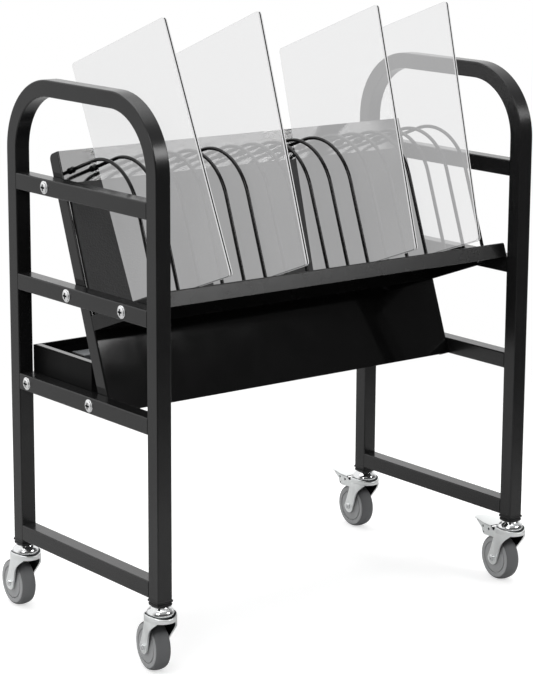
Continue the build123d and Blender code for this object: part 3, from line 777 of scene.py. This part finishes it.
# Upper race, dipping into the fork's dished head, with the stem above it and the kingpin below
STEM_PROFILE = [
    (0, 139.5), (4.9, 139.5), (5.5, 138.9), (5.5, 105.5), (13.2, 105.5),
    (13.6, 104.6), (14.8, 103.2), (17.2, 101.6), (19.2, 99.6), (20.4, 97.2), (20.9, 94.8),
    (20.6, 92.4), (19.4, 90.6), (17.4, 89.6), (14.0, 89.2), (8.0, 89.0), (5.0, 88.6),
    (5.0, 84.0), (7.9, 84.0), (8.0, 83.4), (7.4, 82.7), (6.2, 82.5), (0, 82.5),
]


def make_stem(caster):
    name = caster.place + "_kingpin"
    piece = lathe(name, scaled(STEM_PROFILE), caster.foot, (0, 0, 1), CASTER_ZINC, "cart")
    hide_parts(caster.place + "_stem")


# Wheel as two rings of revolution: a crowned tread, and a disc with a ring groove and a boss.
# Each profile is the half on one side of the wheel's middle.
TREAD_PROFILE = [
    (28.0, 0.0), (28.0, 11.4), (33.5, 11.4), (33.6, 11.7), (34.2, 11.6), (34.9, 11.1),
    (35.7, 9.9), (36.4, 8.1), (36.9, 6.0), (37.3, 3.6), (37.5, 1.4), (37.5, 0.0),
]
DISC_PROFILE = [
    (33.4, 0.0), (33.4, 11.0), (33.0, 12.0), (32.3, 12.5), (27.0, 12.5), (26.5, 12.2),
    (26.2, 10.6), (25.0, 10.6), (24.7, 12.1), (24.2, 12.4), (13.4, 12.0), (12.4, 12.2),
    (11.2, 12.9), (9.6, 13.4), (4.1, 13.5), (4.1, 0.0),
]
WHEEL_SEGMENTS = 120


def make_wheel(caster):
    body = caster.place + "_wheel_body"
    axle, across = caster.axle, caster.across
    ring = [(r, -h) for r, h in TREAD_PROFILE]
    ring += [(r, h) for r, h in reversed(TREAD_PROFILE[1:-1])]
    ring = scaled(ring + [ring[0]])
    tyre = lathe(caster.place + "_tread", ring, axle, across, TREAD, body, WHEEL_SEGMENTS, 32)
    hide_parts(caster.place + "_tyre")
    disc = [(r, -h) for r, h in reversed(DISC_PROFILE[1:])] + DISC_PROFILE
    disc = scaled(disc + [disc[0]])
    hub = lathe(caster.place + "_disc", disc, axle, across, CORE, body, WHEEL_SEGMENTS, 28)
    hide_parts(caster.place + "_hub")


# Brake pedal: a top plate with a shadow gap under its rim, and two walls cut to a wedge
# with small holes, each hole as its place along the wall, its height and its radius
PEDAL_TOP = 92.5
PEDAL_PLATE = 1.4
PEDAL_HALF = 18.8
PEDAL_TIP_HALF = 13.0
PEDAL_TAPER = 45.0
PEDAL_TIP = 74.0
PEDAL_START = 27.2
PEDAL_WALL = 1.5
PEDAL_INSET = 0.9
PEDAL_NECK = 2.0
PEDAL_NECK_SHEET = 0.8
PEDAL_NECK_FOOT = 88.6
PEDAL_NECK_STEPS = 12
PEDAL_SIDE = (
    (12.0, 74.5), (8.1, 76.1), (6.5, 80.0), (8.1, 83.9), (12.0, 85.5), (23.0, 85.5),
    (27.2, 88.6), (27.2, 90.1), (45.0, 90.1), (73.4, 90.1), (73.4, 89.4),
    (55.0, 81.6), (54.0, 77.0), (48.0, 73.0), (45.0, 72.4), (38.0, 72.6),
)
PEDAL_HOLES = ((50.5, 85.4, 2.3), (34.0, 84.4, 2.3), (48.0, 75.8, 1.9), (12.0, 80.0, 2.6))


def pedal_half(back):
    share = min(1, max(0, (back - PEDAL_TAPER) / (PEDAL_TIP - PEDAL_TAPER)))
    return PEDAL_HALF + (PEDAL_TIP_HALF - PEDAL_HALF) * share


def pedal_wall(caster, side):
    spots, edges = [], []
    for loop in [PEDAL_SIDE] + [arc((a, b), r, 0, 345, 23) for a, b, r in PEDAL_HOLES]:
        first = len(spots)
        spots += [Vector(spot) for spot in loop]
        edges += [(first + k, first + (k + 1) % len(loop)) for k in range(len(loop))]
    flat = delaunay_2d_cdt(spots, edges, [], 2, 0.001)
    spots = flat[0]

    def in_hole(face):
        centre = sum((spots[i] for i in face), Vector((0, 0))) / len(face)
        return any((centre - Vector((a, b))).length < r * 0.99 for a, b, r in PEDAL_HOLES)

    faces = [face for face in flat[2] if not in_hole(face)]
    points = []
    for depth in (0, PEDAL_WALL):
        for back, up in spots:
            points.append(caster.at(side * (pedal_half(back) - PEDAL_INSET - depth), back, up))
    count = len(spots)
    used = {}
    for face in faces:
        for a, b in zip(face, face[1:] + face[:1]):
            used[frozenset((a, b))] = used.get(frozenset((a, b)), 0) + 1
    found = [tuple(face) for face in faces] + [tuple(i + count for i in face) for face in faces]
    for edge, times in used.items():
        if times == 1:
            a, b = tuple(edge)
            found.append((a, b, b + count, a + count))
    return points, found


# Recessed neck that joins a wall's top to the plate
def pedal_neck(caster, side):
    length = PEDAL_TIP - 1 - PEDAL_START
    steps = PEDAL_NECK_STEPS
    stations = [PEDAL_START + length * k / steps for k in range(steps + 1)]
    points = []
    for depth in (PEDAL_NECK, PEDAL_NECK + PEDAL_NECK_SHEET):
        for up in (PEDAL_NECK_FOOT, PEDAL_TOP - PEDAL_PLATE / 2):
            points += [caster.at(side * (pedal_half(back) - depth), back, up) for back in stations]
    count = len(stations)
    faces = []
    for a, b in ((0, 1), (2, 3), (0, 2), (1, 3)):
        a, b = a * count, b * count
        faces += [(a + k, a + k + 1, b + k + 1, b + k) for k in range(count - 1)]
    return points, faces


def pedal_plate(caster):
    outline = [(-PEDAL_HALF, PEDAL_START), (-PEDAL_HALF, PEDAL_TAPER)]
    outline += arc((0, PEDAL_TIP), PEDAL_TIP_HALF, 180, 0, 24)
    outline += [(PEDAL_HALF, PEDAL_TAPER), (PEDAL_HALF, PEDAL_START)]
    count = len(outline)
    heights = (PEDAL_TOP - PEDAL_PLATE, PEDAL_TOP)
    points = [caster.at(a, b, up) for up in heights for a, b in outline]
    faces = [tuple(range(count)), tuple(range(count, 2 * count))]
    faces += [(k, (k + 1) % count, (k + 1) % count + count, k + count) for k in range(count)]
    return points, faces


def make_pedal(caster):
    body = caster.place + "_brake_body"
    parts = [pedal_plate(caster)]
    parts += [part(caster, side) for part in (pedal_wall, pedal_neck) for side in (-1, 1)]
    piece = add_mesh(caster.place + "_pedal", *joined(parts), [PRESSED_ZINC], body)
    outward(piece.data)

    # Inner-facing walls, the recessed neck and the faces underneath get painted shade
    def inside(spot, normal):
        aside, back = ((spot - caster.foot).dot(way) for way in (caster.across, caster.back))
        neck = (pedal_half(back / MM) - PEDAL_NECK + 0.1) * MM
        recessed = abs(normal.z) < 0.5 and abs(aside) < neck
        return recessed or normal.dot(caster.across) * aside < -0.004 or normal.z < -0.9

    second_material(piece, CASTER_SHADE, inside)
    soften(piece, 0.35 * MM, 40)
    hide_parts(caster.place + "_brake_pedal")
    # Pins in the three small holes, in the painted-shade metal so that the holes look dark
    pins = []
    for back, up, radius in PEDAL_HOLES[:3]:
        reach = pedal_half(back) - PEDAL_INSET - 0.7
        narrow = radius - 0.3
        profile = scaled([(0, -reach), (narrow, -reach), (narrow, reach), (0, reach)])
        pins.append(lathe_parts(profile, caster.at(0, back, up), caster.across, 24))
    piece = add_mesh(caster.place + "_pedal_pins", *joined(pins), [CASTER_SHADE], body)
    outward(piece.data)
    sharp_above(piece.data)


# Axle with a flanged socket head on one side and a dome nut on the other
AXLE_HEAD = (
    (0, 1.4), (1.9, 1.4), (2.4, 3.0), (3.6, 3.0), (4.7, 2.5), (5.0, 1.6), (5.0, 0.9), (5.4, 0.8),
    (5.4, 0), (4.0, 0),
)
AXLE_NUT = (
    (4.0, 0), (5.4, 0), (5.4, 0.7), (4.9, 0.8), (4.9, 2.4), (4.2, 3.0), (2.0, 3.0), (0, 2.6),
)


def make_axle(caster):
    name, body = caster.place + "_axle_bolt", caster.place + "_swivel_body"
    profile = [(radius, FORK_HALF + out) for radius, out in AXLE_HEAD]
    profile += [(radius, -FORK_HALF - out) for radius, out in AXLE_NUT]
    profile = scaled(profile)
    piece = lathe(name, profile, caster.axle, -caster.across, CASTER_ZINC, body, 48, 25)
    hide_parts(caster.place + "_axle")


# Frame screws: a flanged dome with a cross cut into it, on a plain shank
CROSS_HALF = 1.45
CROSS_REACH = 5.0
CROSS_FLOOR = 1.0
ARM_STEPS = 4
GAP_STEPS = 8
SHANK = 33.9
SHANK_PROFILE = [(3.0, 0.0), (3.0, -SHANK + 0.8), (2.3, -SHANK), (0, -SHANK)]
DOME_RADII = (1.8, 2.8, 3.9, CROSS_REACH, 5.8, 6.6, 7.3, 7.9, 8.3)
DOME_REACH = 8.6
DOME_RISE = 2.1
DOME_FOOT = 1.5
FLANGE_PROFILE = [(8.5, 1.4), (9.3, 1.2), (9.8, 0.9), (10.0, 0.0)]
HEAD_HEIGHT = 3.6
HEAD_SPAN = 22.0


def screw_columns(radius):
    arm = math.asin(CROSS_HALF / radius)
    gap = math.pi / 2 - 2 * arm
    angles = []
    for quarter in range(4):
        start = quarter * math.pi / 2 - arm
        angles += [start + 2 * arm * k / ARM_STEPS for k in range(ARM_STEPS)]
        angles += [start + 2 * arm + gap * k / GAP_STEPS for k in range(GAP_STEPS)]
    return angles


def dome_over(radius):
    return DOME_RISE * math.sqrt(1 - (radius / DOME_REACH) ** 2)


def screw_parts(place, side):
    rings = [(radius, DOME_FOOT + dome_over(radius)) for radius in DOME_RADII] + FLANGE_PROFILE
    inner = DOME_RADII.index(CROSS_REACH) + 1
    quarter = ARM_STEPS + GAP_STEPS
    columns = 4 * quarter
    points, faces = [], []

    def put(radius, height, angle):
        out = Vector((side * height, radius * math.cos(angle), radius * math.sin(angle)))
        points.append(place + out * MM)

    for radius, height in rings:
        for angle in screw_columns(radius):
            put(radius, height, angle)
    floor = len(points)
    for radius, _ in rings[:inner]:
        for angle in screw_columns(radius):
            put(radius, CROSS_FLOOR, angle)
    for i in range(len(rings) - 1):
        for c in range(columns):
            n = (c + 1) % columns
            a, b = i * columns, (i + 1) * columns
            in_arm = c % quarter < ARM_STEPS
            if i < inner - 1 and in_arm:
                faces.append((floor + a + c, floor + a + n, floor + b + n, floor + b + c))
                if i == inner - 2:
                    faces.append((b + c, b + n, floor + b + n, floor + b + c))
            else:
                faces.append((a + c, a + n, b + n, b + c))
            edge = c % quarter in (0, ARM_STEPS)
            if i < inner - 1 and edge:
                faces.append((a + c, b + c, floor + b + c, floor + a + c))
    faces.append(tuple(floor + c for c in range(columns) if c % quarter <= ARM_STEPS))
    shank = lathe_parts(scaled(SHANK_PROFILE), place, (side, 0, 0), 24)
    return joined([(points, faces), shank])


# Middles of the CAD screws' heads, found from their outermost points
def screw_places(side):
    low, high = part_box("frame_screws")
    face = high.x if side > 0 else low.x
    groups = []
    for vertex in frame["nodes"]["frame_screws"].data.vertices:
        if abs(vertex.co.x - face) > 4 * MM:
            continue
        for group in groups:
            if (group[0] - vertex.co).length < HEAD_SPAN * MM:
                group.append(vertex.co.copy())
                break
        else:
            groups.append([vertex.co.copy()])
    found = []
    for group in groups:
        ys, zs = [p.y for p in group], [p.z for p in group]
        seat = face - side * HEAD_HEIGHT * MM
        found.append(Vector((seat, (min(ys) + max(ys)) / 2, (min(zs) + max(zs)) / 2)))
    return found


def make_screws():
    places = [(place, side) for side in (-1, 1) for place in screw_places(side)]
    parts = [screw_parts(place, side) for place, side in places]
    piece = add_mesh("cross_recess_screws", *joined(parts), [ZINC], "cart")

    # The walls and floor of each cross recess get painted shade
    def in_recess(spot, normal):
        place, side = min(places, key=lambda pair: (pair[0] - spot).length)
        off = (spot - place) / MM
        radius, height = math.hypot(off.y, off.z), off.x * side
        if radius >= CROSS_REACH + 0.1:
            return False
        return 0.5 < height < DOME_FOOT - 0.2 + dome_over(radius)

    second_material(piece, CASTER_SHADE, in_recess)
    sharp_above(piece.data, 32)
    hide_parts("frame_screws")


# Caster plugs: rings of a rounded square, with a bead above a tapered foot
PLUG_PROFILE = (
    (5.6, 105.5), (11.5, 105.5), (12.2, 106.0), (12.9, 107.6), (13.1, 109.2), (13.0, 110.2),
    (12.3, 110.7), (12.1, 111.1), (12.4, 111.6), (13.5, 112.0), (14.0, 112.9), (14.0, 114.3),
    (13.5, 115.3), (12.7, 115.95), (10.9, 116.0), (10.9, 143.0), (9.0, 144.0), (5.6, 144.0),
)
PLUG_CORNER = 2.3


def make_plug(caster):
    points, faces, rings = [], [], []
    for half, height in PLUG_PROFILE:
        corner = min(PLUG_CORNER, half * 0.6)
        ring = []
        for sx, sy, start in ((1, 1, 0), (-1, 1, 90), (-1, -1, 180), (1, -1, 270)):
            ring += arc((sx * (half - corner), sy * (half - corner)), corner, start, start + 90, 8)
        rings.append(len(points))
        points += [caster.foot + Vector((a, b, height)) * MM for a, b in ring]
    count = len(ring)
    for first, second in zip(rings, rings[1:]):
        for k in range(count):
            n = (k + 1) % count
            faces.append((first + k, first + n, second + n, second + k))
    piece = add_mesh(caster.place + "_tube_plug", points, faces, [PLUG], "cart")
    sharp_above(piece.data, 40)
    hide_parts(caster.place + "_plug")


# A CAD node's faces joined up again, with its edges slightly rounded
MERGE_DISTANCE = 0.002 * MM
FLAT_ANGLE = math.radians(0.5)


def refined(node, width):
    shown = frame["nodes"][node]
    mesh = shown.data.copy()
    shape = bmesh.new()
    shape.from_mesh(mesh)
    bmesh.ops.remove_doubles(shape, verts=shape.verts, dist=MERGE_DISTANCE)
    bmesh.ops.dissolve_limit(
        shape, angle_limit=FLAT_ANGLE, verts=shape.verts, edges=shape.edges,
    )
    bmesh.ops.recalc_face_normals(shape, faces=shape.faces)
    shape.to_mesh(mesh)
    shape.free()
    mesh.polygons.foreach_set("use_smooth", [True] * len(mesh.polygons))
    piece = bpy.data.objects.new(node + "_refined", mesh)
    bpy.context.scene.collection.objects.link(piece)
    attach(piece, shown["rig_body"])
    soften(piece, width)
    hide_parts(node)
    entry = next(entry for entry in frame["record"]["subparts"] if entry["node"] == node)
    mesh.materials.clear()
    mesh.materials.append(node_material(entry))


# Folded rims along the tops of the tray's end walls
RIM_WIDTH = 13.0 * MM
RIM_SHEET = 1.5 * MM


def make_tray_rims():
    low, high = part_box("cable_tray")
    spans = (("left", low.x, low.x + RIM_WIDTH), ("right", high.x - RIM_WIDTH, high.x))
    for name, *ends in spans:
        shape = bmesh.new()
        for x in ends:
            for y in (low.y, high.y):
                for z in (high.z - RIM_SHEET, high.z):
                    shape.verts.new((x, y, z))
        bmesh.ops.convex_hull(shape, input=shape.verts)
        bmesh.ops.dissolve_limit(
            shape, angle_limit=0.01, verts=shape.verts, edges=shape.edges,
        )
        mesh = bpy.data.meshes.new(f"tray_rim_{name}")
        shape.to_mesh(mesh)
        shape.free()
        mesh.materials.append(RIM_COAT)
        mesh.polygons.foreach_set("use_smooth", [True] * len(mesh.polygons))
        piece = bpy.data.objects.new(f"tray_rim_{name}", mesh)
        bpy.context.scene.collection.objects.link(piece)
        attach(piece, "cart")
        soften(piece, 0.5 * MM, 35, 3)


# CAD nodes to refine, with the width of their rounded edges in mm
REFINED = (
    ("frame_nuts", 0.4), ("shelf", 0.8), ("cable_tray", 0.45),
    ("power_strip_housing", 0.5), ("power_strip_end_caps", 0.5),
    ("power_strip_outlet_band", 0.25), ("power_strip_base_band", 0.4),
    ("power_strip_brackets", 0.3), ("power_inlet", 0.3),
)


# Floor that fades into the white surround. A camera ray sees it lifted to white, but for
# the shadow.
FLOOR_RADIUS = 2.2
FLOOR_FADE = (0.75, 1.7)
FLOOR_COLOUR = (0.62, 0.62, 0.62, 1)
FLOOR_LIFT = 0.60


def make_floor():
    mesh = bpy.data.meshes.new("floor")
    shape = bmesh.new()
    bmesh.ops.create_circle(shape, cap_ends=True, segments=96, radius=FLOOR_RADIUS)
    shape.to_mesh(mesh)
    shape.free()
    floor = bpy.data.objects.new("floor", mesh)
    bpy.context.scene.collection.objects.link(floor)
    material, tree, out = new_material("floor")
    place = add_node(tree, "ShaderNodeTexCoord")
    length = add_node(tree, "ShaderNodeVectorMath", operation="LENGTH")
    tree.links.new(place.outputs["Object"], length.inputs[0])
    fade = smooth_range(tree, length.outputs["Value"], FLOOR_FADE)
    pale = add_node(tree, "ShaderNodeBsdfDiffuse", Color=FLOOR_COLOUR)
    lift = add_node(tree, "ShaderNodeEmission", Color=(1, 1, 1, 1))
    rays = add_node(tree, "ShaderNodeLightPath")
    seen = add_node(tree, "ShaderNodeMath", operation="MULTIPLY")
    seen.inputs[1].default_value = FLOOR_LIFT
    tree.links.new(rays.outputs["Is Camera Ray"], seen.inputs[0])
    tree.links.new(seen.outputs[0], lift.inputs["Strength"])
    both = add_node(tree, "ShaderNodeAddShader")
    tree.links.new(pale.outputs[0], both.inputs[0])
    tree.links.new(lift.outputs[0], both.inputs[1])
    clear = add_node(tree, "ShaderNodeBsdfTransparent")
    mixed = add_node(tree, "ShaderNodeMixShader")
    tree.links.new(fade, mixed.inputs["Fac"])
    tree.links.new(both.outputs[0], mixed.inputs[1])
    tree.links.new(clear.outputs[0], mixed.inputs[2])
    tree.links.new(mixed.outputs[0], out.inputs["Surface"])
    mesh.materials.append(material)


# Surround: white to the camera. To the object it is dark in front and low down, so that the
# black faces keep their depth, and bright behind, brighter above the horizon than below.
FRONT_TO_BEHIND = (-0.35, 0.45)
FRONT_RISE = (0.3, 0.9)
FRONT_LIGHT = (0.08, 0.5)
HORIZON = (-0.12, 0.12)
BEHIND_LIGHT = (0.66, 1.08)


def make_world():
    world = bpy.data.worlds.new("surround")
    bpy.context.scene.world = world
    world.use_nodes = True
    tree = world.node_tree
    tree.nodes.clear()
    out = add_node(tree, "ShaderNodeOutputWorld")
    place = add_node(tree, "ShaderNodeTexCoord")
    split = add_node(tree, "ShaderNodeSeparateXYZ")
    tree.links.new(place.outputs["Generated"], split.inputs[0])
    turned = smooth_range(tree, split.outputs["Y"], FRONT_TO_BEHIND)
    front = smooth_range(tree, split.outputs["Z"], FRONT_RISE, FRONT_LIGHT)
    behind = smooth_range(tree, split.outputs["Z"], HORIZON, BEHIND_LIGHT)
    ramp = add_node(tree, "ShaderNodeMix", data_type="RGBA")
    tree.links.new(turned, ramp.inputs["Factor"])
    tree.links.new(front, ramp.inputs["A"])
    tree.links.new(behind, ramp.inputs["B"])
    around = add_node(tree, "ShaderNodeBackground", Strength=1.0)
    tree.links.new(ramp.outputs["Result"], around.inputs["Color"])
    white = add_node(tree, "ShaderNodeBackground", Color=(1, 1, 1, 1), Strength=1.0)
    rays = add_node(tree, "ShaderNodeLightPath")
    seen = add_node(tree, "ShaderNodeMixShader")
    tree.links.new(rays.outputs["Is Camera Ray"], seen.inputs["Fac"])
    tree.links.new(around.outputs[0], seen.inputs[1])
    tree.links.new(white.outputs[0], seen.inputs[2])
    tree.links.new(seen.outputs[0], out.inputs["Surface"])


# Soft lamps: name, place, target, width and height, and watts
LAMPS = (
    ("front_right_box", (1.75, -2.45, 2.03), (0.0, -0.1, 0.95), (1.45, 0.68), 26),
    ("left_box", (-2.5, -1.5, 2.2), (0.0, 0.0, 0.6), (1.4, 1.2), 26),
    ("top_box", (0.0, 0.2, 3.0), (0.0, 0.0, 0.6), (2.4, 2.4), 30),
)


def make_lamp(name, place, target, size, watts):
    data = bpy.data.lights.new(name, "AREA")
    data.shape = "RECTANGLE"
    data.size, data.size_y = size
    data.energy = watts
    lamp = bpy.data.objects.new(name, data)
    bpy.context.scene.collection.objects.link(lamp)
    away = Vector(place) - Vector(target)
    lamp.location = place
    lamp.rotation_mode = "QUATERNION"
    lamp.rotation_quaternion = away.to_track_quat("Z", "Y")


bpy.context.scene.view_settings.view_transform = "Standard"
make_camera()
make_floor()
make_world()
for lamp in LAMPS:
    make_lamp(*lamp)
dress_nodes()
make_wires()
for number, shares in enumerate(zip(BAYS, FOOT_SHARES, LEAN_SHARES, TURN_SHARES), 1):
    make_plate(number, *shares)
make_screws()
make_tray_rims()
for place in CASTERS:
    caster = Caster(place)
    make_plug(caster)
    make_stem(caster)
    make_fork(caster)
    make_axle(caster)
    make_wheel(caster)
    if place in BRAKED:
        make_pedal(caster)
for node, width in REFINED:
    refined(node, width * MM)
